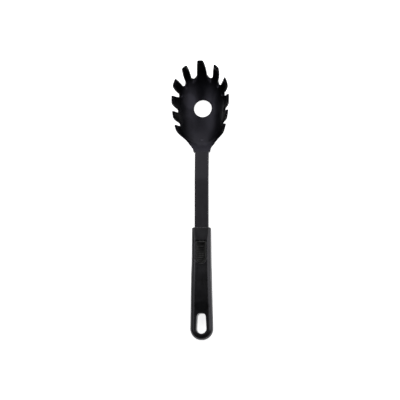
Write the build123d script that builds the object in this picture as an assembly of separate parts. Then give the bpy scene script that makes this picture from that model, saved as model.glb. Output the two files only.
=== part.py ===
from build123d import *

import os
from math import atan2, cos, degrees, hypot, radians, sin, tan

# Pasta server lying on a table with its bowl upward, in millimetres.
# X runs across the server, Y runs along it toward the bowl, Z is up.
# It is first modelled level, with its handle parallel to Y, and is then laid down on the table.
# Places along the head are measured from the centre of the drain hole,
# and places along the handle are measured back from the bend of the shank.

# Bowl: a shell between two ellipsoids whose widest level is the level of the tooth tips
bowl_half_width = 33.7
bowl_front_reach = 42.3
bowl_back_reach = 75.9
bowl_wall = 2.6
bowl_centre = 8.0
floor_height = 2.4
tip_height = 33.7
foot_sink = 1.5
drain_diameter = 21.8

# Teeth: eleven of them, left standing between ten notches
notch_bottom_radius = 2.7
notch_top_half_width = 5.6
tooth_corner_radius = 1.9
notch_floor_shares = (0.280, 0.335, 0.400, 0.460, 0.480)
notch_bottom_shares = (1.38, 1.06, 1.00, 0.90, 0.85)
notch_top_shares = (1.16, 1.08, 0.99, 0.80, 0.76)
notch_across_shares = (0.278, 0.606, 0.797, 0.832, 0.765)
notch_along_shares = (0.660, 0.440, 0.124, -0.185, -0.405)
notch_turns = (2.0, 31.0, 83.0, 86.0, 90.0)

# Rear rim: falls from the last pair of teeth to the neck
rim_start = -33.0
rim_foot = -45.0
rim_fall_shares = ((0.17, 0.31), (0.34, 0.61), (0.58, 0.88))

# Neck: the socket that holds the end of the shank, and the flare that widens into the bowl
neck_end = -55.8
neck_middle_height = 13.02
neck_side_wall = 1.8
neck_edge_radius = 1.6
neck_run_in = 29.0
flare_length = 11.0
flare_half_width = 14.4
flare_waist_share = 0.27
flare_thickness = 3.4
socket_depth = 9.5

# Scoop: the back of the hollow, whose flattened floor climbs from the widest section to the neck
scoop_run_shares = (0.0, 0.08, 0.20, 0.35, 0.50, 0.62, 0.72, 0.80)
scoop_rise_shares = (0.0, 0.008, 0.051, 0.159, 0.358, 0.618, 0.875, 1.05)
scoop_flatness = 2.5
scoop_flat_share = 0.5
scoop_points = 6

# Shank: a flat bar, bent where its straight part turns down to the bowl
shank_width = 16.3
shank_thickness = 5.5
shank_edge_radius = 1.3
bend_place = -89.0
bend_height = 16.0
bend_radius = 30.0
tenon_width = 11.0
tenon_thickness = 2.5
tenon_drop = 0.5
tenon_key_radius = 2.0
tang_length = 42.0
tang_key_radius = 2.5
tang_key_shares = (0.35, 0.75)

# Handle: a sleeve over the tang, with a hang slot near its end
handle_start = 57.5
handle_length = 128.9
handle_mouth_half_width = 11.1
handle_waist_half_width = 11.75
handle_end_half_width = 13.05
handle_front_rise = 8.0
handle_back_fall = 7.6
handle_dip = 3.4
dip_start_share = 0.50
dip_end_share = 0.95
handle_edge_radius = 5.4
handle_mouth_radius = 1.0
facet_length = 16.0
facet_drop = 1.0
slot_rim = 6.9
slot_round_radius = 5.95
slot_top_half_width = 5.05
slot_length = 23.3
slot_corner_radius = 4.0
slot_edge_radius = 0.9

# Thumb grip: a soft ribbed inlay in a recess of the handle
recess_length = 26.0
recess_half_width = 6.3
recess_depth = 1.7
recess_corner_radius = 1.0
grip_base_thickness = 1.05
grip_rim_width = 1.5
grip_rim_sink = 0.1
grip_bare_length = 6.6
rib_count = 8
rib_pitch = 2.3
rib_radius = 0.72
rib_sink = 0.35
peg_radius = 1.4
peg_length = 2.0
peg_spacing = 13.0

# Fits
fit_gap = 0.15
overrun = 3.0

os.makedirs("parts", exist_ok=True)

# The handle is level with the shank's straight part, and the neck falls toward the bowl
handle_end = handle_start + handle_length
neck_fall = atan2(bend_height - neck_middle_height, neck_end - bend_place)
handle_frame = Location((0, bend_place, bend_height))
neck_frame = Location((0, neck_end, neck_middle_height), (-degrees(neck_fall), 0, 0))
neck_half_height = shank_thickness / 2
neck_half_width = shank_width / 2 + neck_side_wall
reach = bowl_front_reach + bowl_back_reach
bowl_depth = tip_height + foot_sink

# On the table the server turns about the bowl's lowest place until the handle's back touches too
heel_place = bend_place - handle_end + handle_edge_radius
heel_height = bend_height - handle_back_fall
rest_angle = atan2(heel_height, bowl_centre - heel_place)
lying = Location((0, bowl_centre, 0), (degrees(rest_angle), 0, 0)) * Location((0, -bowl_centre, 0))


def block(width, y_low, y_high, z_low, z_high):
    """A box centred across the server, between two places along it and two heights."""
    box = Box(width, y_high - y_low, z_high - z_low)
    return box.moved(Location((0, (y_low + y_high) / 2, (z_low + z_high) / 2)))


def upright(radius, along, z_low, z_high):
    """A vertical cylinder on the centre line between two heights."""
    return Cylinder(radius, z_high - z_low).moved(Location((0, along, (z_low + z_high) / 2)))


def stretch_across(edges, half_width):
    """A closed outline in the plane of Y and Z, stretched to both sides of the centre line."""
    return extrude(make_face(edges), half_width, both=True)


def neck_top(place):
    """The height of the neck's top face at a place along the server."""
    return neck_middle_height + neck_half_height / cos(neck_fall) - (place - neck_end) * tan(neck_fall)


def bowl_form(half_width, front_reach, back_reach, depth):
    """An oval bowl below the level of the tips, made of two half ellipsoids."""
    halves = []
    for half_reach, y_low, y_high in ((front_reach, bowl_centre, bowl_centre + reach),
                                      (back_reach, bowl_centre - reach, bowl_centre)):
        ball = scale(Sphere(reach), by=(half_width / reach, half_reach / reach, depth / reach))
        ball = ball.moved(Location((0, bowl_centre, tip_height)))
        halves.append(ball & block(2 * reach, y_low, y_high, tip_height - reach, tip_height))
    return halves[0] + halves[1]


def scoop_section(run, rise, flatness):
    """One section across the scoop, from rim to rim, at a share of the hollow's length behind its centre."""
    half_reach = bowl_back_reach - bowl_wall
    half_width = (bowl_half_width - bowl_wall) * (1 - run ** 2) ** 0.5
    scoop_top = neck_top(bowl_centre - scoop_run_shares[-1] * half_reach)
    drop = tip_height - floor_height - rise * (scoop_top - floor_height)
    points = []
    for step in range(-scoop_points, scoop_points + 1):
        turn = radians(90) * abs(step) / scoop_points
        across = half_width * sin(turn) ** (2 / flatness)
        height = tip_height - drop * abs(cos(turn)) ** (2 / flatness)
        points.append((across if step > 0 else -across, height))
    floor = Spline(*points, tangents=((0, -1), (0, 1)))
    if not run:
        floor = EllipticalCenterArc((0, tip_height), half_width, drop, 180, arc_size=180)
    plane = Plane(origin=(0, bowl_centre - run * half_reach, 0), x_dir=(1, 0, 0), z_dir=(0, -1, 0))
    return plane * make_face(floor.edges() + Line(points[-1], points[0]).edges())


def scoop():
    """The back half of the hollow, lofted from the bowl's widest section to the top of the neck."""
    sections = []
    for run, rise in zip(scoop_run_shares, scoop_rise_shares):
        flat = min(1, run / scoop_flat_share)
        sections.append(scoop_section(run, rise, 2 + flat * (scoop_flatness - 2)))
    return loft(sections)


def above_rim():
    """Everything above the rear rim, from the last teeth back over the neck."""
    drop = tip_height - neck_top(rim_foot)
    points = [(rim_start, tip_height)]
    points += [(rim_start + run * (rim_foot - rim_start), tip_height - fall * drop)
               for run, fall in rim_fall_shares]
    points += [(rim_foot, neck_top(rim_foot))]
    behind = bowl_centre - bowl_back_reach - overrun
    above = tip_height + overrun
    curve = Plane.YZ * Spline(*points)
    rest = Plane.YZ * Polyline(points[-1], (behind, neck_top(behind)), (behind, above),
                               (rim_start, above), points[0])
    return stretch_across(curve.edges() + rest.edges(), bowl_half_width + overrun)


def notch_outline(notch_floor, bottom_half_width, top_half_width):
    """The outline of one notch: a round bottom, straight flanks and rounded upper corners."""
    bottom = notch_floor + bottom_half_width
    shoulder = tip_height - tooth_corner_radius
    outer = top_half_width + tooth_corner_radius
    above = tip_height + overrun
    diagonal = tooth_corner_radius * sin(radians(45))
    edges = [ThreePointArc((-bottom_half_width, bottom), (0, notch_floor), (bottom_half_width, bottom)),
             Line((-outer, above), (outer, above))]
    for side in (-1, 1):
        edges.append(Line((side * bottom_half_width, bottom), (side * top_half_width, shoulder)))
        edges.append(ThreePointArc((side * top_half_width, shoulder),
                                   (side * (outer - diagonal), shoulder + diagonal),
                                   (side * outer, tip_height)))
        edges.append(Line((side * outer, tip_height), (side * outer, above)))
    return make_face([edge for line in edges for edge in line.edges()])


def notches():
    """The ten notches between the eleven teeth, five on each side."""
    cutters = []
    shares = zip(notch_floor_shares, notch_bottom_shares, notch_top_shares,
                 notch_across_shares, notch_along_shares, notch_turns)
    for floor, bottom, top, across, along, turn in shares:
        outline = notch_outline(floor * tip_height, bottom * notch_bottom_radius, top * notch_top_half_width)
        reach_of_half = bowl_front_reach if along > 0 else bowl_back_reach
        root = Vector(across * bowl_half_width, bowl_centre + along * reach_of_half, 0)
        outward = Vector(sin(radians(turn)), cos(radians(turn)), 0)
        tangent = Vector(-cos(radians(turn)), sin(radians(turn)), 0)
        inside = root - outward * (bowl_half_width / 3)
        plane = Plane(origin=inside, x_dir=tangent, z_dir=outward)
        cutter = extrude(plane * outline, bowl_half_width, dir=outward)
        cutters += [cutter, mirror(cutter, about=Plane.YZ)]
    return cutters


def neck_socket():
    """The neck's body around the shank's end, in the neck's frame."""
    body = block(2 * neck_half_width, 0, neck_run_in, -neck_half_height, neck_half_height)
    return fillet(body.edges().filter_by(Axis.Y), neck_edge_radius)


def flare():
    """The thin part of the neck that widens into the bowl's rim, in the neck's frame."""
    waist = neck_half_width + flare_waist_share * (flare_half_width - neck_half_width)
    edges = [Line((-neck_half_width, 0), (neck_half_width, 0)),
             Line((-flare_half_width, flare_length), (flare_half_width, flare_length))]
    for side in (-1, 1):
        edges.append(ThreePointArc((side * neck_half_width, 0), (side * waist, flare_length / 2),
                                   (side * flare_half_width, flare_length)))
    plate = extrude(make_face([edge for line in edges for edge in line.edges()]), flare_thickness)
    return plate.moved(Location((0, 0, neck_half_height - flare_thickness)))


def tenon(behind, gap):
    """The tenon with a gap around it, starting behind the neck's end, in the neck's frame."""
    low = -tenon_thickness / 2 - tenon_drop - gap
    return block(tenon_width + 2 * gap, -behind, socket_depth + gap, low, low + tenon_thickness + 2 * gap)


def tenon_key(radius):
    """The moulded key that passes through the tenon, in the neck's frame."""
    return upright(radius, socket_depth / 2, -neck_half_height, neck_half_height)


def serving_head():
    """The bowl with its teeth, drain hole, rear rim, flare and socket."""
    shell = bowl_form(bowl_half_width, bowl_front_reach, bowl_back_reach, bowl_depth)
    hollow = bowl_form(bowl_half_width - bowl_wall, bowl_front_reach - bowl_wall,
                       bowl_back_reach - bowl_wall, tip_height - floor_height)
    hollow = hollow & block(2 * reach, bowl_centre, bowl_centre + reach, -reach, reach)
    neck = neck_socket() + flare()
    socket = tenon(overrun, fit_gap) - tenon_key(tenon_key_radius)
    head = shell + neck.moved(neck_frame)
    head -= hollow + scoop()
    head -= above_rim()
    head -= notches()
    head -= upright(drain_diameter / 2, 0, -bowl_depth, bowl_depth)
    head -= socket.moved(neck_frame)
    head -= block(2 * reach, -reach, 0, -reach, reach).moved(neck_frame)
    return head.moved(lying) - block(2 * reach, -reach, reach, -reach, 0)


def tang_keys(radius):
    """The keys that pass through the tang inside the handle, in the handle's frame."""
    half = shank_thickness / 2 + overrun
    return [upright(radius, -handle_start - share * tang_length, -half, half) for share in tang_key_shares]


def shank():
    """The flat bar from the tang in the handle, over the bend, to the tenon in the neck."""
    half = shank_thickness / 2
    mitre = half * tan(neck_fall / 2)
    run = hypot(neck_end - bend_place, bend_height - neck_middle_height) - fit_gap
    tail = bend_place - handle_start - tang_length
    nose = bend_place + run * cos(neck_fall)
    nose_height = bend_height - run * sin(neck_fall)
    lean, rise = half * sin(neck_fall), half * cos(neck_fall)
    profile = Polyline((tail, bend_height - half), (tail, bend_height + half),
                       (bend_place + mitre, bend_height + half), (nose + lean, nose_height + rise),
                       (nose - lean, nose_height - rise), (bend_place - mitre, bend_height - half),
                       close=True)
    side = make_face(profile.edges())
    bends = [corner for corner in side.vertices() if abs(corner.X - bend_place) < shank_thickness]
    bar = extrude(Plane.YZ * fillet(bends, bend_radius), shank_width / 2, both=True)
    long_edges = [edge for edge in bar.edges() if abs(edge.center().X) > shank_width / 3
                  and tail + fit_gap < edge.center().Y < nose - shank_thickness]
    bar = fillet(long_edges, shank_edge_radius)
    bar += tenon(tenon_thickness, 0).moved(neck_frame)
    bar -= tenon_key(tenon_key_radius + fit_gap).moved(neck_frame)
    for key in tang_keys(tang_key_radius + fit_gap):
        bar -= key.moved(handle_frame)
    return bar.moved(lying)


def handle_outline():
    """The handle's outline seen from the front, in the handle's frame."""
    round_centre = handle_end_half_width - handle_end
    middle = (round_centre - handle_start) / 2
    edges = [Line((-handle_mouth_half_width, -handle_start), (handle_mouth_half_width, -handle_start)),
             ThreePointArc((-handle_end_half_width, round_centre), (0, -handle_end),
                           (handle_end_half_width, round_centre))]
    for side in (-1, 1):
        edges.append(ThreePointArc((side * handle_mouth_half_width, -handle_start),
                                   (side * handle_waist_half_width, middle),
                                   (side * handle_end_half_width, round_centre)))
    return make_face([edge for line in edges for edge in line.edges()])


def slot_outline():
    """The hang slot: a round lower end, slanted sides and a flatter upper end."""
    low = slot_rim + slot_round_radius - handle_end
    high = slot_rim + slot_length - handle_end
    edges = [ThreePointArc((-slot_round_radius, low), (0, slot_rim - handle_end), (slot_round_radius, low)),
             Line((-slot_top_half_width, high), (slot_top_half_width, high))]
    for side in (-1, 1):
        edges.append(Line((side * slot_round_radius, low), (side * slot_top_half_width, high)))
    face = make_face([edge for line in edges for edge in line.edges()])
    return fillet(face.vertices().group_by(Axis.Y)[-1], slot_corner_radius)


def grip_outline(inset):
    """The thumb grip's outline: square toward the bowl and round toward the handle's end."""
    top = -handle_start - facet_length - inset
    half = recess_half_width - inset
    low = recess_half_width - handle_start - facet_length - recess_length
    edges = [Line((-half, top), (half, top)),
             ThreePointArc((-half, low), (0, low - half), (half, low))]
    for side in (-1, 1):
        edges.append(Line((side * half, top), (side * half, low)))
    face = make_face([edge for line in edges for edge in line.edges()])
    return fillet(face.vertices().group_by(Axis.Y)[-1], recess_corner_radius)


def grip_pegs(gap):
    """The two pegs under the thumb grip, in the handle's frame."""
    middle = -handle_start - facet_length - recess_length / 2
    floor = handle_front_rise - recess_depth
    return [upright(peg_radius + gap, middle + side * peg_spacing / 2, floor - peg_length - gap, floor)
            for side in (-1, 1)]


def handle_side():
    """The handle seen from the side, its front dipping toward the hang slot, in the handle's frame."""
    dip_start = -handle_start - dip_start_share * handle_length
    dip_end = -handle_start - dip_end_share * handle_length
    low = handle_front_rise - handle_dip
    corners = ((dip_end, low), (-handle_end, low), (-handle_end, -handle_back_fall),
               (-handle_start, -handle_back_fall), (-handle_start, handle_front_rise),
               (dip_start, handle_front_rise))
    dip = Spline(corners[-1], corners[0], tangents=((-1, 0), (-1, 0)))
    return (Plane.YZ * dip).edges() + (Plane.YZ * Polyline(*corners)).edges()


def handle():
    """The sleeve with its rounded edges, sloped facet, hang slot, grip recess and tang pocket."""
    body = extrude(handle_outline(), handle_length, both=True)
    body = body & stretch_across(handle_side(), handle_end_half_width)
    mouth = body.faces().sort_by(Axis.Y)[-1].edges()
    walls = [edge for edge in body.edges() if abs(edge.center().Z) < (handle_front_rise - handle_dip) / 2]
    body = fillet([edge for edge in body.edges() if edge not in mouth + walls], handle_edge_radius)
    body = fillet(body.faces().sort_by(Axis.Y)[-1].edges(), handle_mouth_radius)
    slope = Polyline((-handle_start - facet_length, handle_front_rise),
                     (overrun - handle_start, handle_front_rise - facet_drop * (1 + overrun / facet_length)),
                     (overrun - handle_start, handle_front_rise + overrun),
                     (-handle_start - facet_length, handle_front_rise + overrun), close=True)
    body -= stretch_across((Plane.YZ * slope).edges(), handle_end_half_width)
    body -= extrude(slot_outline(), handle_end, both=True)
    slot_low = slot_rim / 2 - handle_end
    slot_high = slot_low + slot_rim + slot_length
    slot_edges = [edge for edge in body.edges()
                  if slot_low < edge.center().Y < slot_high
                  and abs(edge.center().X) < slot_round_radius + fit_gap
                  and abs(edge.center().Z) > (handle_front_rise - handle_dip) / 2]
    body = fillet([edge for edge in slot_edges if edge.length < handle_length / 2], slot_edge_radius)
    recess = extrude(grip_outline(0), handle_front_rise)
    body -= recess.moved(Location((0, 0, handle_front_rise - recess_depth)))
    body -= grip_pegs(fit_gap)
    half = shank_thickness / 2 + fit_gap
    tail = -handle_start - tang_length - fit_gap
    pocket = block(shank_width + 2 * fit_gap, tail, overrun - handle_start, -half, half)
    body -= pocket - tang_keys(tang_key_radius)
    return body.moved(lying * handle_frame)


def thumb_grip():
    """The soft inlay: a base, a raised rim, cross ribs and two pegs."""
    floor = handle_front_rise - recess_depth
    base = extrude(grip_outline(fit_gap), grip_base_thickness).moved(Location((0, 0, floor)))
    rim_face = grip_outline(fit_gap) - grip_outline(fit_gap + grip_rim_width)
    rim = extrude(rim_face, recess_depth - grip_rim_sink).moved(Location((0, 0, floor)))
    inside = extrude(grip_outline(fit_gap + grip_rim_width / 2), recess_depth).moved(Location((0, 0, floor)))
    grip = base + rim
    first = -handle_start - facet_length - grip_bare_length
    for rib in range(rib_count):
        bar = Cylinder(rib_radius, 2 * recess_half_width)
        place = Location((0, first - rib * rib_pitch, handle_front_rise - rib_sink - rib_radius), (0, 90, 0))
        grip += bar.moved(place) & inside
    grip += grip_pegs(0)
    return grip.moved(lying * handle_frame)


pieces = {"serving_head": serving_head(), "shank": shank(), "handle": handle(), "thumb_grip": thumb_grip()}
boxes = [piece.bounding_box() for piece in pieces.values()]
middle = (min(box.min.Y for box in boxes) + max(box.max.Y for box in boxes)) / 2
lowest = min(box.min.Z for box in boxes)
for name, piece in pieces.items():
    export_step(piece.moved(Location((0, -middle, -lowest))), f"parts/{name}.step")
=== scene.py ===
import logging
import math
from dataclasses import dataclass
from enum import Enum
from typing import Any, Dict, List, Optional, Tuple, Union

import bmesh
import bpy
import numpy as np
from mathutils import Matrix, Vector


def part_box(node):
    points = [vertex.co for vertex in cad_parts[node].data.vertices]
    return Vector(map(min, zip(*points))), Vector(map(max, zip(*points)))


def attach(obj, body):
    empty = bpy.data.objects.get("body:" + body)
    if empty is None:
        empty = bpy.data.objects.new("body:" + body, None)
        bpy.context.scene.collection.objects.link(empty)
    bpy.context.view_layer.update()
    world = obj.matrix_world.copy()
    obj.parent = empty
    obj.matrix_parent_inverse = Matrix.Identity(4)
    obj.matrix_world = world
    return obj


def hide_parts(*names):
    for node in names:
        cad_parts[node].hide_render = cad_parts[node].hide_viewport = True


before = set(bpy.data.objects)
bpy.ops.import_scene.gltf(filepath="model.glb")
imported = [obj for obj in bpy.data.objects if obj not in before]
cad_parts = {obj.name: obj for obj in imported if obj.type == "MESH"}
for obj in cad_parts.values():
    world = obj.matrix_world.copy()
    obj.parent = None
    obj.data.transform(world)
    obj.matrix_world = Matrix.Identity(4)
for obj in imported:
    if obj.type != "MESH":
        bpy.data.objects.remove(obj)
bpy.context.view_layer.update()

log = logging.getLogger("pasta_server")

Colour = Tuple[float, float, float, float]
Point = Tuple[float, float, float]
MM = 0.001
BODY = "root"
GATE_PLACE = (0.0, 71.5 * MM)


class Cast(Enum):
    """The faint colour that a black or white leans toward, as shares of red, green and blue."""

    NEUTRAL = (1.0, 1.0, 1.0)
    COOL = (0.92, 0.91, 1.0)
    BLUISH = (0.89, 0.87, 1.0)
    VIOLET = (0.81, 0.79, 1.0)


def shade(tone: float, cast: Cast = Cast.NEUTRAL) -> Colour:
    """Makes a colour from a tone and the cast that it leans toward.

    Args:
        tone: The linear tone of its strongest part, from 0 to 1.
        cast: What it leans toward.

    Returns:
        A linear colour with alpha 1.
    """
    red, green, blue = cast.value
    return (tone * red, tone * green, tone * blue, 1.0)


class Wire:
    """A node's output that Python's operators turn into Math nodes."""

    def __init__(self, graph: "Graph", socket: bpy.types.NodeSocket) -> None:
        """Keeps the socket and the graph that it belongs to."""
        self.graph = graph
        self.socket = socket

    def _math(self, operation: str, *terms: "Term") -> "Wire":
        """Adds one Math node for the terms given."""
        return self.graph.add("ShaderNodeMath", {"operation": operation}, dict(enumerate(terms)))

    def __add__(self, other: "Term") -> "Wire":
        """The sum of two values."""
        return self._math("ADD", self, other)

    def __radd__(self, other: "Term") -> "Wire":
        """The sum, with the plain number first."""
        return self._math("ADD", other, self)

    def __sub__(self, other: "Term") -> "Wire":
        """The difference of two values."""
        return self._math("SUBTRACT", self, other)

    def __rsub__(self, other: "Term") -> "Wire":
        """The difference, with the plain number first."""
        return self._math("SUBTRACT", other, self)

    def __mul__(self, other: "Term") -> "Wire":
        """The product of two values."""
        return self._math("MULTIPLY", self, other)

    def __rmul__(self, other: "Term") -> "Wire":
        """The product, with the plain number first."""
        return self._math("MULTIPLY", other, self)

    def over(self, other: "Term") -> "Wire":
        """The first value divided by the second."""
        return self._math("DIVIDE", self, other)

    def larger(self, other: "Term") -> "Wire":
        """The larger of two values."""
        return self._math("MAXIMUM", self, other)

    def root(self) -> "Wire":
        """The square root, or 0 below zero."""
        return self._math("SQRT", self.larger(0.0))

    def band(self, low: float, high: float) -> "Wire":
        """A smooth step from 0 at low to 1 at high, whichever of them is the larger number."""
        return self.graph.add("ShaderNodeMapRange", {"interpolation_type": "SMOOTHSTEP"},
                              {"Value": self, "From Min": low, "From Max": high})


Term = Union[Wire, float]


class Graph:
    """A node tree that every node is added to through one method."""

    def __init__(self, tree: bpy.types.NodeTree) -> None:
        """Empties the tree and keeps it."""
        tree.nodes.clear()
        self.tree = tree

    def add(self, kind: str, settings: Optional[Dict[str, Any]] = None,
            values: Optional[Dict[Union[str, int], Any]] = None, output: Union[str, int] = 0) -> Wire:
        """Adds one node, sets it up and joins it to what feeds it.

        Args:
            kind: The node's type.
            settings: Properties of the node, set before its sockets.
            values: A number, a colour or a wire for each input, by its name or place.
            output: The output that is wanted, by its name or place.

        Returns:
            A wire from that output, or from the first input of a node that has none.
        """
        node = self.tree.nodes.new(kind)
        for name, setting in (settings or {}).items():
            setattr(node, name, setting)
        for name, value in (values or {}).items():
            if isinstance(value, Wire):
                self.tree.links.new(value.socket, node.inputs[name])
            else:
                node.inputs[name].default_value = value
        outputs = node.outputs
        return Wire(self, outputs[output] if outputs else node.inputs[0])

    def blend(self, share: Term, first: Any, second: Any) -> Wire:
        """Mixes two colours.

        Args:
            share: How much of the second colour there is, from 0 to 1.
            first: The colour at 0.
            second: The colour at 1.

        Returns:
            A wire that carries the mixed colour.
        """
        return self.add("ShaderNodeMix", {"data_type": "RGBA"}, {0: share, 6: first, 7: second}, 2)

    def noise(self, place: Wire, size: float, detail: float = 2.0, roughness: float = 0.5) -> Wire:
        """Adds a noise whose features have a given size.

        Args:
            place: The coordinates that the noise reads.
            size: The size of a feature.
            detail: How many finer layers there are.
            roughness: How strong the finer layers are.

        Returns:
            A wire that runs from 0 to 1 about a middle of one half.
        """
        return self.add("ShaderNodeTexNoise", {"noise_dimensions": "3D"},
                        {"Vector": place, "Scale": 1 / size, "Detail": detail, "Roughness": roughness})

    def relief(self, height: Wire, depth: float, under: Optional[Wire] = None) -> Wire:
        """Turns a height into bumps of the surface.

        Args:
            height: The height, from 0 to 1.
            depth: How deep the bumps are.
            under: The bumps that these lie on, where there are any.

        Returns:
            A wire that carries the normal.
        """
        values = {"Strength": 1.0, "Distance": depth, "Height": height}
        return self.add("ShaderNodeBump", values={**values, "Normal": under} if under else values)


def material(name: str) -> Tuple[bpy.types.Material, Graph]:
    """Starts an empty node material and the graph that fills it."""
    made = bpy.data.materials.new(name)
    made.use_nodes = True
    return made, Graph(made.node_tree)


@dataclass(frozen=True)
class PaintedSheen:
    """A patch of a piece whose gloss is raised or lowered to paint a highlight or shade there."""

    gloss: float

    def share(self, graph: Graph, place: Wire) -> Wire:
        """How far each point has this gloss, from 0 to 1."""
        raise NotImplementedError


@dataclass(frozen=True)
class Stretch(PaintedSheen):
    """A patch of changed gloss over a stretch of the piece, along one axis, that paints a highlight or
    shade.
    """

    axis: str
    start: float
    full: float

    def share(self, graph: Graph, place: Wire) -> Wire:
        """How far each point has this gloss, from 0 to 1.

        Args:
            graph: The material's graph.
            place: The coordinates of the point.

        Returns:
            A wire that carries the share.
        """
        along = graph.add("ShaderNodeSeparateXYZ", values={"Vector": place}, output=self.axis)
        return along.band(self.start, self.full)


@dataclass(frozen=True)
class Spot(PaintedSheen):
    """A patch of changed gloss over a small oval, seen from above, that fades in from outside the oval to
    inside it and paints a highlight or shade.
    """

    centre: Tuple[float, float]
    reach: Tuple[float, float]
    fade: Tuple[float, float] = (1.6, 0.5)

    def share(self, graph: Graph, place: Wire) -> Wire:
        """How far each point has this gloss, from 0 to 1.

        Args:
            graph: The material's graph.
            place: The coordinates of the point.

        Returns:
            A wire that carries the share.
        """
        far = []
        for axis, centre, reach in zip("XY", self.centre, self.reach):
            along = graph.add("ShaderNodeSeparateXYZ", values={"Vector": place}, output=axis)
            far.append((along - centre) * (1 / reach))
        return (far[0] * far[0] + far[1] * far[1]).band(*self.fade)


def finish_surface(graph: Graph, place: Wire, surface: Dict[str, Any], gloss: float,
                   painted_sheens: Tuple[PaintedSheen, ...]) -> None:
    """Ends a material in a shader whose gloss changes wherever a painted patch lies, painting a highlight or
    shade there.

    Args:
        graph: The material's graph.
        place: The coordinates of the point.
        surface: What feeds the shader apart from its gloss.
        gloss: The gloss outside the sheens.
        painted_sheens: Patches of changed gloss that paint highlights and shade, each laid over those before
            it.
    """
    shader = graph.add("ShaderNodeBsdfPrincipled", values={**surface, "Specular IOR Level": gloss})
    for painted_sheen in painted_sheens:
        other = graph.add("ShaderNodeBsdfPrincipled", values={**surface, "Specular IOR Level": painted_sheen.gloss})
        shader = graph.add("ShaderNodeMixShader",
                           values={0: painted_sheen.share(graph, place), 1: shader, 2: other})
    graph.add("ShaderNodeOutputMaterial", values={"Surface": shader})


@dataclass(frozen=True)
class MouldedPlastic:
    """A moulded plastic: mottled tone, flow marks, fine grain, edges polished by handling, and patches of
    changed gloss that paint highlights and shade.
    """

    name: str
    cast: Cast
    tone: float
    worn_tone: float
    gloss: float
    roughness: float
    grain_depth: float
    ripple_depth: float
    painted_sheens: Tuple[PaintedSheen, ...] = ()
    grain_size: float = 0.4 * MM
    mottle_size: float = 9 * MM
    mottle_tone: float = 0.2
    mottle_matt: float = 0.12
    flow_size: float = 2.6 * MM
    flow_stretch: float = 6.0
    flow_matt: float = 0.10
    flow_height: float = 0.3
    speck_size: float = 0.8 * MM
    speck_tone: float = 2.2
    speck_cover: float = 0.35
    worn_size: float = 1.7 * MM
    worn_cover: float = 0.7
    worn_polish: float = 0.08

    def build(self) -> bpy.types.Material:
        """Builds the material from the finish's values."""
        made, graph = material(self.name)
        place = graph.add("ShaderNodeTexCoord", output="Object")
        along = graph.add("ShaderNodeMapping", {"vector_type": "POINT"},
                          {"Vector": place, "Scale": (1.0, 1 / self.flow_stretch, 1.0)})
        mottle = graph.noise(place, self.mottle_size, 3.0, 0.55)
        flow = graph.noise(along, self.flow_size, 2.0, 0.5)
        speck = graph.noise(place, self.speck_size, 1.0, 0.5).band(0.66, 0.78)
        worn = graph.add("ShaderNodeAttribute", {"attribute_name": "edge_wear"}, output="Fac")
        scuffed = worn * graph.noise(place, self.worn_size, 3.0, 0.6).band(0.36, 0.62)
        body = graph.blend(mottle.band(0.3, 0.7), shade(self.tone * (1 - self.mottle_tone), self.cast),
                           shade(self.tone * (1 + self.mottle_tone), self.cast))
        dusted = graph.blend(speck * self.speck_cover, body, shade(self.tone * self.speck_tone, self.cast))
        colour = graph.blend(scuffed * self.worn_cover, dusted, shade(self.worn_tone, self.cast))
        matt = self.roughness + (mottle - 0.5) * self.mottle_matt + (flow - 0.5) * self.flow_matt
        rough = matt - scuffed * self.worn_polish
        grain = graph.noise(place, self.grain_size, 1.0, 0.5)
        fine = graph.relief(grain, self.grain_depth)
        normal = graph.relief(mottle + flow * self.flow_height, self.ripple_depth, fine)
        surface = {"Base Color": colour, "Roughness": rough, "Normal": normal,
                   "Specular Tint": shade(1.0, self.cast)}
        finish_surface(graph, place, surface, self.gloss, self.painted_sheens)
        return made


@dataclass(frozen=True)
class SoftRubber:
    """A matt rubber: dusty tone, fine matt grain, and patches of changed gloss that paint shade or
    highlights.
    """

    name: str
    tone: float
    roughness: float
    grain_size: float
    grain_depth: float
    gloss: float
    painted_sheens: Tuple[PaintedSheen, ...] = ()
    dust_size: float = 1.4 * MM
    dust_tone: float = 1.9
    mottle_size: float = 6 * MM
    mottle_matt: float = 0.14

    def build(self) -> bpy.types.Material:
        """Builds the material from the finish's values."""
        made, graph = material(self.name)
        place = graph.add("ShaderNodeTexCoord", output="Object")
        dust = graph.noise(place, self.dust_size, 4.0, 0.6)
        mottle = graph.noise(place, self.mottle_size, 2.0, 0.5)
        colour = graph.blend(dust.band(0.4, 0.75) * mottle, shade(self.tone),
                             shade(self.tone * self.dust_tone))
        rough = self.roughness + (mottle - 0.5) * self.mottle_matt
        grain = graph.noise(place, self.grain_size, 2.0, 0.6)
        normal = graph.relief(grain, self.grain_depth)
        surface = {"Base Color": colour, "Roughness": rough, "Normal": normal}
        finish_surface(graph, place, surface, self.gloss, self.painted_sheens)
        return made


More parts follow.
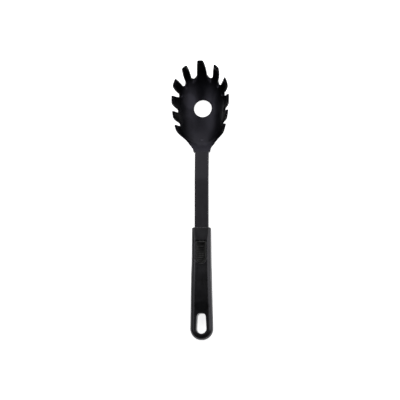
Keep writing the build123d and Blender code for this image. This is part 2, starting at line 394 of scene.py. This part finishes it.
class Finish(Enum):
    """The finishes of the server's four pieces."""

    HEAD = MouldedPlastic(
        "head_nylon_moulded", Cast.VIOLET, tone=0.0019, worn_tone=0.0080, gloss=0.200, roughness=0.37,
        grain_depth=0.006 * MM, ripple_depth=0.05 * MM,
        # painted highlights: gloss raised in two patches on the bowl's walls, left and right of the drain
        # hole
        painted_sheens=(Spot(0.32, (-15.5 * MM, 121.5 * MM), (7 * MM, 9 * MM)),
                Spot(0.34, (17.3 * MM, 118 * MM), (4.5 * MM, 14 * MM)),
                # painted shade: gloss lowered on the bowl's left side nearer the neck, and on the teeth from
                # 12 mm to 19 mm high
                Spot(0.14, (-17 * MM, 91 * MM), (6 * MM, 10 * MM)),
                Stretch(0.04, "Z", 12 * MM, 19 * MM),
                # painted highlight: gloss raised along the neck and over the gate pad, to brighten them
                Stretch(0.41, "Y", 71 * MM, 61 * MM),
                Spot(0.41, GATE_PLACE, (1.6 * MM, 1.0 * MM))))
    SHANK = MouldedPlastic(
        "shank_nylon_moulded", Cast.BLUISH, tone=0.0064, worn_tone=0.0160, gloss=0.355, roughness=0.42,
        grain_depth=0.006 * MM, ripple_depth=0.04 * MM)
    HANDLE = MouldedPlastic(
        "handle_plastic_moulded", Cast.COOL, tone=0.0023, worn_tone=0.0090, gloss=0.500, roughness=0.30,
        grain_depth=0.006 * MM, ripple_depth=0.05 * MM,
        # painted shade: gloss lowered in a patch just above the hang slot
        painted_sheens=(Spot(0.25, (1.0 * MM, -125 * MM), (8 * MM, 6 * MM)),))
    GRIP = SoftRubber(
        "grip_rubber_matt", tone=0.0022, roughness=0.38, grain_size=0.30 * MM, grain_depth=0.006 * MM,
        gloss=0.34,
        # painted shade: gloss lowered over the ribs; painted highlight: gloss raised on the bare floor at
        # the recess's top end
        painted_sheens=(Spot(0.21, (0.0, -64 * MM), (4.2 * MM, 9 * MM)),
                Spot(0.62, (1.0 * MM, -52.5 * MM), (3.6 * MM, 4 * MM))))


@dataclass(frozen=True)
class TableRest:
    """How the server is laid down from level until its bowl and its handle's end both rest on the table."""

    bowl_centre: float = 8.0 * MM
    bend_place: float = -89.0 * MM
    bend_height: float = 16.0 * MM
    heel_place: float = -270.0 * MM
    heel_height: float = 8.4 * MM

    def handle_frame(self) -> Matrix:
        """The matrix that lays a piece of the level handle, centred on the bend, down on the table."""
        angle = math.atan2(self.heel_height, self.bowl_centre - self.heel_place)
        turn = Matrix.Rotation(angle, 4, "X")
        return turn @ Matrix.Translation((0, self.bend_place - self.bowl_centre, self.bend_height))


class Workshop:
    """Ways of making and finishing meshes that several pieces share."""

    doubled = 0.002 * MM

    @staticmethod
    def add(name: str, mesh: bpy.types.Mesh) -> bpy.types.Object:
        """Puts a mesh in the scene as an object at the origin."""
        piece = bpy.data.objects.new(name, mesh)
        bpy.context.scene.collection.objects.link(piece)
        return piece

    @staticmethod
    def copy_of(node: str, name: str) -> bpy.types.Object:
        """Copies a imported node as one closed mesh.

        Args:
            node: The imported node's name.
            name: The name of the copy.

        Returns:
            The copy, with its doubled corners merged.
        """
        work = bmesh.new()
        work.from_mesh(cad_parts[node].data)
        bmesh.ops.remove_doubles(work, verts=work.verts, dist=Workshop.doubled)
        mesh = bpy.data.meshes.new(name)
        work.to_mesh(mesh)
        work.free()
        return Workshop.add(name, mesh)

    @staticmethod
    def settle(piece: bpy.types.Object) -> None:
        """Turns a piece's live modifiers into plain mesh and removes them."""
        graph = bpy.context.evaluated_depsgraph_get()
        mesh = bpy.data.meshes.new_from_object(piece.evaluated_get(graph))
        mesh.name = piece.name
        piece.modifiers.clear()
        piece.data = mesh

    @staticmethod
    def soften(piece: bpy.types.Object, voxel: float, passes: int,
               crisp_before: Optional[float] = None) -> None:
        """Rebuilds a piece in even small faces and rounds its edges as a mould does.

        Args:
            piece: The piece, which keeps its place.
            voxel: The size of a face.
            passes: How many times the faces are smoothed.
            crisp_before: The place along the server below which the edges stay sharp.
        """
        remesh = piece.modifiers.new("even_faces", "REMESH")
        remesh.mode = "VOXEL"
        remesh.voxel_size = voxel
        remesh.use_smooth_shade = True
        Workshop.settle(piece)
        soft = piece.vertex_groups.new(name="softened")
        soft.add([corner.index for corner in piece.data.vertices
                  if crisp_before is None or corner.co.y > crisp_before], 1.0, "REPLACE")
        smooth = piece.modifiers.new("rounded_edges", "SMOOTH")
        smooth.factor = 0.5
        smooth.iterations = passes
        smooth.vertex_group = soft.name
        Workshop.settle(piece)

    @staticmethod
    def read(mesh: bpy.types.Mesh, name: str) -> np.ndarray:
        """Reads a three-part value of every corner of a mesh, one row for each."""
        values = np.empty(len(mesh.vertices) * 3)
        mesh.vertices.foreach_get(name, values)
        return values.reshape(-1, 3)

    @staticmethod
    def regrow(piece: bpy.types.Object, node: str, amount: float, start: float, full: float) -> None:
        """Moves a piece's skin back out by what rounding its edges took.

        Args:
            piece: The piece.
            node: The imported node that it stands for, whose box it stays in.
            amount: How far the skin moves.
            start: The place along the server where it begins to move.
            full: The place from which it moves all the way.
        """
        places = Workshop.read(piece.data, "co")
        share = np.clip((places[:, 1] - start) / (full - start), 0, 1)
        places += Workshop.read(piece.data, "normal") * (amount * share)[:, None]
        low, high = (np.array(corner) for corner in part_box(node))
        piece.data.vertices.foreach_set("co", np.clip(places, low, high).ravel())
        piece.data.update()

    @staticmethod
    def seat(piece: bpy.types.Object, node: str) -> None:
        """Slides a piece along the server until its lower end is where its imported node's is."""
        low = min(corner.co.y for corner in piece.data.vertices)
        piece.data.transform(Matrix.Translation((0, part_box(node)[0].y - low, 0)))

    @staticmethod
    def mark_wear(piece: bpy.types.Object, reach: float, rounds: int) -> None:
        """Writes how much each point stands out as an edge, for the finish to read.

        Args:
            piece: The piece, with even faces.
            reach: The bend, in lengths of a face's side, at which wear is full.
            rounds: How many times the values are evened out.
        """
        mesh = piece.data
        count = len(mesh.vertices)
        places = Workshop.read(mesh, "co")
        normals = Workshop.read(mesh, "normal")
        ends = np.empty(len(mesh.edges) * 2, dtype=np.int64)
        mesh.edges.foreach_get("vertices", ends)
        first, second = ends.reshape(-1, 2).T
        degree = np.bincount(ends, minlength=count)
        length = np.linalg.norm(places[first] - places[second], axis=1).mean()
        middle = np.stack([np.bincount(first, places[second, axis], count)
                           + np.bincount(second, places[first, axis], count) for axis in range(3)], axis=1)
        pull = places - middle / degree[:, None]
        wear = np.clip((pull * normals).sum(axis=1) / (reach * length), 0, 1)
        for _ in range(rounds):
            around = np.bincount(first, wear[second], count) + np.bincount(second, wear[first], count)
            wear = (wear + around / degree) / 2
        mesh.attributes.new("edge_wear", "FLOAT", "POINT").data.foreach_set("value", wear.astype(np.float32))

    @staticmethod
    def dress(piece: bpy.types.Object, finish: Finish, slot: str) -> None:
        """Gives a piece its finish and parents it to the body's empty."""
        piece.data.materials.clear()
        piece.data.materials.append(MATERIALS[finish])
        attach(piece, BODY)


@dataclass
class ServingHead:
    """The toothed bowl with its drain hole and the neck that holds the shank."""

    voxel: float = 0.50 * MM
    passes: int = 5
    crisp_length: float = 0.81 * MM
    end_depth: float = 0.40 * MM
    joint_gap: float = 0.137 * MM
    flat_past_shank: float = 0.60 * MM
    regrowth: float = 0.34 * MM
    regrown_after: Tuple[float, float] = (3.11 * MM, 10.11 * MM)
    top_facing: float = 0.3
    end_share: float = 0.6
    sharp_within: float = 0.01 * MM
    wear_reach: float = 0.16
    wear_rounds: int = 2
    gate_reach: Tuple[float, float] = (1.9 * MM, 0.8 * MM)
    gate_rise: float = 0.28 * MM
    gate_limit: float = 3.0
    gate_facing: float = 0.5

    def neck_line(self) -> Tuple[float, float, float]:
        """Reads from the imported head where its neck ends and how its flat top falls.

        Returns:
            The place of the end with the joint's gap closed, the top's height there, and its fall.
        """
        corners = [corner.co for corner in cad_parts["serving_head"].data.vertices]
        low = min(corner.y for corner in corners)
        end = [corner for corner in corners if corner.y < low + self.end_depth]
        top = max(end, key=lambda corner: corner.z)
        foot = min(end, key=lambda corner: corner.z)
        fall = (top.y - foot.y) / (top.z - foot.z)
        return top.y - self.joint_gap, top.z + self.joint_gap * fall, fall

    def square_neck(self, head: bpy.types.Object) -> None:
        """Carries the neck's flat top out to its end, level with the shank, and keeps that edge sharp."""
        end, height, fall = self.neck_line()
        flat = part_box("shank")[1].x + self.flat_past_shank
        corners = head.data.vertices
        for corner in corners:
            if corner.co.y < end + self.crisp_length and corner.co.z > height - self.voxel \
                    and corner.normal.z > self.top_facing and abs(corner.co.x) < flat:
                if corner.co.y < end + self.voxel * self.end_share:
                    corner.co.y = end
                corner.co.z = height - (corner.co.y - end) * fall
        for edge in head.data.edges:
            edge.use_edge_sharp = all(corners[index].co.y < end + self.sharp_within
                                      for index in edge.vertices)

    def raise_gate_mark(self, head: bpy.types.Object) -> None:
        """Raises the small oval pad that the mould's gate leaves where the scoop meets the neck."""
        for corner in head.data.vertices:
            across = (corner.co.x - GATE_PLACE[0]) / self.gate_reach[0]
            along = (corner.co.y - GATE_PLACE[1]) / self.gate_reach[1]
            far = across ** 2 + along ** 2
            if corner.normal.z > self.gate_facing and far < self.gate_limit ** 2:
                corner.co.z += self.gate_rise * math.exp(-far ** 2)

    def build(self) -> bpy.types.Object:
        """Builds the head with softly rounded teeth and rims.

        Returns:
            The head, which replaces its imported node.
        """
        head = Workshop.copy_of("serving_head", "serving_head_moulding")
        end = self.neck_line()[0]
        Workshop.soften(head, self.voxel, self.passes, end + self.crisp_length)
        Workshop.regrow(head, "serving_head", self.regrowth, *(end + run for run in self.regrown_after))
        self.square_neck(head)
        self.raise_gate_mark(head)
        Workshop.mark_wear(head, self.wear_reach, self.wear_rounds)
        Workshop.dress(head, Finish.HEAD, "head_nylon")
        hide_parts("serving_head")
        return head


@dataclass
class Handle:
    """The sleeve over the shank's tang, with its sloped facet, grip recess and hang slot."""

    voxel: float = 0.45 * MM
    passes: int = 3
    regrowth: float = 0.22 * MM
    regrown_from: Tuple[float, float] = (-78.0 * MM, -86.0 * MM)
    wear_reach: float = 0.16
    wear_rounds: int = 2

    def build(self) -> bpy.types.Object:
        """Builds the handle with softly rounded edges.

        Returns:
            The handle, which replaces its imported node.
        """
        handle = Workshop.copy_of("handle", "handle_moulding")
        Workshop.soften(handle, self.voxel, self.passes)
        Workshop.regrow(handle, "handle", self.regrowth, *self.regrown_from)
        Workshop.mark_wear(handle, self.wear_reach, self.wear_rounds)
        Workshop.dress(handle, Finish.HANDLE, "handle_plastic")
        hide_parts("handle")
        return handle


@dataclass
class Shank:
    """The flat bar, whose packed form is already right, in its own finish."""

    def build(self) -> bpy.types.Object:
        """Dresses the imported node.

        Returns:
            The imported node's object.
        """
        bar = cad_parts["shank"]
        for slot in bar.material_slots:
            slot.material = MATERIALS[Finish.SHANK]
        return bar


@dataclass
class ThumbGrip:
    """The soft inlay in the handle: a tray with a round rim, cross ribs and two pegs."""

    facet_end: float = 73.5 * MM
    length: float = 26.0 * MM
    half_width: float = 6.3 * MM
    corner: float = 1.0 * MM
    least_corner: float = 0.2 * MM
    corner_steps: int = 4
    fit: float = 0.15 * MM
    front_rise: float = 8.0 * MM
    depth: float = 1.7 * MM
    base: float = 1.05 * MM
    rim_width: float = 1.5 * MM
    rim_sink: float = 0.10 * MM
    rim_round: float = 0.6
    rim_steps: int = 8
    bare_length: float = 6.6 * MM
    rim_run: float = 5.0 * MM
    rib_count: int = 8
    rib_pitch: float = 2.30 * MM
    rib_radius: float = 0.72 * MM
    rib_sink: float = 0.35 * MM
    rib_sides: int = 20
    peg_radius: float = 1.4 * MM
    peg_length: float = 2.0 * MM
    peg_spacing: float = 13.0 * MM
    peg_overlap: float = 0.1 * MM
    peg_sides: int = 24
    outline_steps: int = 48
    rest: TableRest = TableRest()

    def outline(self, inset: float) -> List[Tuple[float, float]]:
        """The grip's outline: round toward the handle's end and square toward the bowl.

        Args:
            inset: How far the outline lies inside the recess.

        Returns:
            Points in order around the outline, in the handle's frame.
        """
        half = self.half_width - inset
        top = -self.facet_end - inset
        low = self.half_width - self.facet_end - self.length
        corner = max(self.corner - inset, self.least_corner)
        points = []
        for step in range(self.outline_steps + 1):
            turn = math.pi + math.pi * step / self.outline_steps
            points.append((half * math.cos(turn), low + half * math.sin(turn)))
        for side, start in ((1, 0.0), (-1, math.pi / 2)):
            for step in range(self.corner_steps + 1):
                turn = start + math.pi / 2 * step / self.corner_steps
                points.append((side * (half - corner) + corner * math.cos(turn),
                               top - corner + corner * math.sin(turn)))
        return points

    def rim_height(self, along: float, height: float, low: float) -> float:
        """Lets the rim sink to the tray's floor where the tray meets the facet.

        Args:
            along: The point's place along the handle.
            height: Its height on the full rim.
            low: The height of the tray's floor.

        Returns:
            The point's height.
        """
        share = min(max((-self.facet_end - along) / self.rim_run, 0.0), 1.0)
        return min(height, low) + max(height - low, 0.0) * share * share * (3 - 2 * share)

    def tray(self) -> bpy.types.Mesh:
        """The tray: its floor and the rim whose top is rounded over."""
        floor = self.front_rise - self.depth
        half_rim = self.rim_width / 2
        crown = self.front_rise - self.rim_sink
        shoulder = crown - half_rim * self.rim_round
        rings = [(self.fit, floor), (self.fit, shoulder)]
        for step in range(1, self.rim_steps):
            turn = math.pi * step / self.rim_steps
            rings.append((self.fit + half_rim * (1 - math.cos(turn)),
                          shoulder + (crown - shoulder) * math.sin(turn)))
        rings += [(self.fit + self.rim_width, shoulder), (self.fit + self.rim_width, floor + self.base)]
        work = bmesh.new()
        loops = []
        for inset, height in rings:
            loops.append([work.verts.new((x, y, self.rim_height(y, height, floor + self.base)))
                          for x, y in self.outline(inset)])
        count = len(loops[0])
        for lower, upper in zip(loops, loops[1:]):
            for index in range(count):
                after = (index + 1) % count
                work.faces.new((lower[index], lower[after], upper[after], upper[index]))
        work.faces.new(list(reversed(loops[0])))
        work.faces.new(loops[-1])
        bmesh.ops.recalc_face_normals(work, faces=work.faces)
        mesh = bpy.data.meshes.new("thumb_grip_tray")
        work.to_mesh(mesh)
        work.free()
        return mesh

    def ribs_tree(self) -> bpy.types.NodeTree:
        """The tree that lays the round ribs across the tray at an even pitch."""
        tree = bpy.data.node_groups.new("cross_ribs", "GeometryNodeTree")
        face = tree.interface
        face.new_socket("Geometry", in_out="INPUT", socket_type="NodeSocketGeometry")
        sizes = {"Count": self.rib_count, "Pitch": self.rib_pitch, "Radius": self.rib_radius,
                 "Reach": self.half_width - self.fit - self.rim_width / 2,
                 "Start": -self.facet_end - self.bare_length,
                 "Round Start": self.half_width - self.facet_end - self.length,
                 "Height": self.front_rise - self.rib_sink - self.rib_radius}
        for name, value in sizes.items():
            kind = "NodeSocketInt" if name == "Count" else "NodeSocketFloat"
            face.new_socket(name, in_out="INPUT", socket_type=kind).default_value = value
        face.new_socket("Finish", in_out="INPUT", socket_type="NodeSocketMaterial")
        face.new_socket("Geometry", in_out="OUTPUT", socket_type="NodeSocketGeometry")
        graph = Graph(tree)
        given = {name: graph.add("NodeGroupInput", output=name) for name in ("Geometry", *sizes, "Finish")}
        start = graph.add("ShaderNodeCombineXYZ", values={"Y": given["Start"], "Z": given["Height"]})
        step = graph.add("ShaderNodeCombineXYZ", values={"Y": given["Pitch"] * -1.0})
        places = graph.add("GeometryNodeMeshLine", {"mode": "OFFSET"},
                           {"Count": given["Count"], "Start Location": start, "Offset": step})
        spine = graph.add("GeometryNodeCurvePrimitiveLine", {"mode": "POINTS"},
                          {"Start": graph.add("ShaderNodeCombineXYZ", values={"X": given["Reach"] * -1.0}),
                           "End": graph.add("ShaderNodeCombineXYZ", values={"X": given["Reach"]})})
        ring = graph.add("GeometryNodeCurvePrimitiveCircle", {"mode": "RADIUS"},
                         {"Resolution": self.rib_sides, "Radius": given["Radius"]})
        rib = graph.add("GeometryNodeCurveToMesh",
                        values={"Curve": spine, "Profile Curve": ring, "Fill Caps": True})
        index = graph.add("GeometryNodeInputIndex")
        past = (given["Round Start"] - given["Start"] + index * given["Pitch"]).larger(0.0) * (1 / MM)
        reach = given["Reach"] * (1 / MM)
        share = (reach * reach - past * past).root().over(reach)
        size = graph.add("ShaderNodeCombineXYZ", values={"X": share, "Y": 1.0, "Z": 1.0})
        row = graph.add("GeometryNodeInstanceOnPoints",
                        values={"Points": places, "Instance": rib, "Scale": size})
        solid = graph.add("GeometryNodeRealizeInstances", values={"Geometry": row})
        smooth = graph.add("GeometryNodeSetShadeSmooth", values={"Geometry": solid, "Shade Smooth": True})
        joined = graph.add("GeometryNodeJoinGeometry", values={"Geometry": smooth})
        graph.tree.links.new(given["Geometry"].socket, joined.socket.node.inputs["Geometry"])
        done = graph.add("GeometryNodeSetMaterial", values={"Geometry": joined, "Material": given["Finish"]})
        graph.add("NodeGroupOutput", values={"Geometry": done})
        return tree

    def pegs(self) -> bpy.types.Mesh:
        """The two pegs that hold the grip in the handle."""
        middle = -self.facet_end - self.length / 2
        height = self.front_rise - self.depth - self.peg_length / 2 + self.peg_overlap
        work = bmesh.new()
        for side in (-1, 1):
            place = Matrix.Translation((0, middle + side * self.peg_spacing / 2, height))
            bmesh.ops.create_cone(work, cap_ends=True, segments=self.peg_sides, radius1=self.peg_radius,
                                  radius2=self.peg_radius, depth=self.peg_length, matrix=place)
        mesh = bpy.data.meshes.new("thumb_grip_pegs")
        work.to_mesh(mesh)
        work.free()
        return mesh

    def build(self) -> bpy.types.Object:
        """Builds the grip and lays it in its recess.

        Returns:
            The grip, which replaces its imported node.
        """
        work = bmesh.new()
        work.from_mesh(self.tray())
        work.from_mesh(self.pegs())
        mesh = bpy.data.meshes.new("thumb_grip_inlay")
        work.to_mesh(mesh)
        work.free()
        grip = Workshop.add("thumb_grip_inlay", mesh)
        mesh.shade_smooth()
        ribs = grip.modifiers.new("cross_ribs", "NODES")
        ribs.node_group = self.ribs_tree()
        sockets = {item.name: item.identifier for item in ribs.node_group.interface.items_tree
                   if item.in_out == "INPUT"}
        ribs[sockets["Finish"]] = MATERIALS[Finish.GRIP]
        Workshop.settle(grip)
        grip.data.transform(self.rest.handle_frame())
        Workshop.seat(grip, "thumb_grip")
        Workshop.dress(grip, Finish.GRIP, "grip_rubber")
        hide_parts("thumb_grip")
        return grip


class Side(Enum):
    """Where a softbox stands: its turn around the table and its height, in degrees."""

    LOW_EAST = (0.0, 22.0)
    LOW_NORTH_EAST = (45.0, 22.0)
    LOW_NORTH = (90.0, 22.0)
    HIGH_EAST = (0.0, 50.0)
    HIGH_NORTH_EAST = (45.0, 50.0)
    HIGH_NORTH_WEST = (135.0, 50.0)
    HIGH_WEST = (180.0, 50.0)


@dataclass
class Studio:
    """The table, the daylight around it, the softboxes and the camera."""

    picture_size: int = 400
    target: Point = (-1.97 * MM, -0.68 * MM, 12.0 * MM)
    lean_right: float = 6.424
    lean_back: float = 11.946
    roll: float = 0.206
    distance: float = 1222.25 * MM
    pixel: float = 1.1650 * MM
    sensor: float = 36.0
    clip: Tuple[float, float] = (0.01, 50.0)
    table_reach: float = 6.0
    table_sides: int = 96
    table_tone: float = 0.82
    table_glow: float = 0.85
    ambient: float = 0.066
    softbox_distance: float = 1.1
    softbox_size: float = 0.7
    softboxes: Tuple[Tuple[Side, float], ...] = (
        (Side.LOW_EAST, 1.90), (Side.LOW_NORTH_EAST, 2.26), (Side.LOW_NORTH, 3.58), (Side.HIGH_EAST, 1.93),
        (Side.HIGH_NORTH_EAST, 2.50), (Side.HIGH_NORTH_WEST, 4.10), (Side.HIGH_WEST, 1.44))

    def camera(self) -> bpy.types.Object:
        """The camera, leaning over the server as the photographer did."""
        lean, back, roll = (math.radians(angle) for angle in (self.lean_right, self.lean_back, self.roll))
        toward = Vector((math.sin(lean) * math.cos(back), -math.sin(back), math.cos(lean) * math.cos(back)))
        right = Vector((math.cos(lean), 0.0, -math.sin(lean)))
        up = toward.cross(right)
        across = right * math.cos(roll) + up * math.sin(roll)
        upward = up * math.cos(roll) - right * math.sin(roll)
        place = Matrix((across, upward, toward)).transposed().to_4x4()
        place.translation = Vector(self.target) + toward * self.distance
        data = bpy.data.cameras.new("camera")
        data.sensor_width = self.sensor
        data.lens = self.sensor * self.distance / (self.pixel * self.picture_size)
        data.clip_start, data.clip_end = self.clip
        eye = bpy.data.objects.new("camera", data)
        eye.matrix_world = place
        bpy.context.scene.collection.objects.link(eye)
        bpy.context.scene.camera = eye
        return eye

    def seen(self, graph: Graph) -> Wire:
        """A mask for rays that come from the camera, a gloss or a glass."""
        straight = graph.add("ShaderNodeLightPath", output="Is Camera Ray")
        mirrored = graph.add("ShaderNodeLightPath", output="Is Glossy Ray")
        through = graph.add("ShaderNodeLightPath", output="Is Transmission Ray")
        return straight.larger(mirrored).larger(through)

    def table(self) -> bpy.types.Object:
        """The pale table, which keeps the server's soft shadow."""
        work = bmesh.new()
        bmesh.ops.create_circle(work, cap_ends=True, segments=self.table_sides, radius=self.table_reach)
        mesh = bpy.data.meshes.new("table")
        work.to_mesh(mesh)
        work.free()
        table = Workshop.add("table", mesh)
        made, graph = material("table_white")
        paper = graph.add("ShaderNodeBsdfDiffuse", values={"Color": shade(self.table_tone)})
        glow = graph.add("ShaderNodeEmission", values={"Color": shade(1.0), "Strength": self.table_glow})
        lit = graph.add("ShaderNodeAddShader", values={0: paper, 1: glow})
        shown = graph.add("ShaderNodeMixShader", values={0: self.seen(graph), 1: paper, 2: lit})
        graph.add("ShaderNodeOutputMaterial", values={"Surface": shown})
        mesh.materials.append(made)
        return table

    def daylight(self) -> None:
        """The dim room around the table, white only where the camera sees it."""
        world = bpy.data.worlds.new("studio")
        bpy.context.scene.world = world
        world.use_nodes = True
        graph = Graph(world.node_tree)
        room = graph.add("ShaderNodeBackground", values={"Color": shade(1.0), "Strength": self.ambient})
        white = graph.add("ShaderNodeBackground", values={"Color": shade(1.0), "Strength": 1.0})
        straight = graph.add("ShaderNodeLightPath", output="Is Camera Ray")
        shown = graph.add("ShaderNodeMixShader", values={0: straight, 1: room, 2: white})
        graph.add("ShaderNodeOutputWorld", values={"Surface": shown})

    def softbox(self, side: Side, power: float) -> bpy.types.Object:
        """Hangs one softbox and points it at the server.

        Args:
            side: Where it stands.
            power: Its power in watts.

        Returns:
            The lamp's object.
        """
        turn, rise = (math.radians(angle) for angle in side.value)
        out = Vector((math.cos(turn) * math.cos(rise), math.sin(turn) * math.cos(rise), math.sin(rise)))
        lamp = bpy.data.lights.new("softbox_" + side.name.lower(), "AREA")
        lamp.size = self.softbox_size
        lamp.energy = power
        hung = bpy.data.objects.new(lamp.name, lamp)
        facing = out.to_track_quat("Z", "Y").to_matrix().to_4x4()
        hung.matrix_world = Matrix.Translation(out * self.softbox_distance) @ facing
        bpy.context.scene.collection.objects.link(hung)
        return hung

    def build(self) -> None:
        """Sets up the whole studio."""
        self.camera()
        self.table()
        self.daylight()
        for side, power in self.softboxes:
            self.softbox(side, power)
        bpy.context.scene.view_settings.view_transform = "Standard"


MATERIALS = {finish: finish.value.build() for finish in Finish}


def main() -> None:
    """Builds the server's pieces in order, then the studio around them."""
    logging.basicConfig(level=logging.INFO, format="%(message)s")
    for maker in (ServingHead(), Shank(), Handle(), ThumbGrip()):
        piece = maker.build()
        log.info("%s: %d faces", piece.name, len(piece.data.polygons))
    Studio().build()
    log.info("studio: ready")


if __name__ == "__main__":
    main()
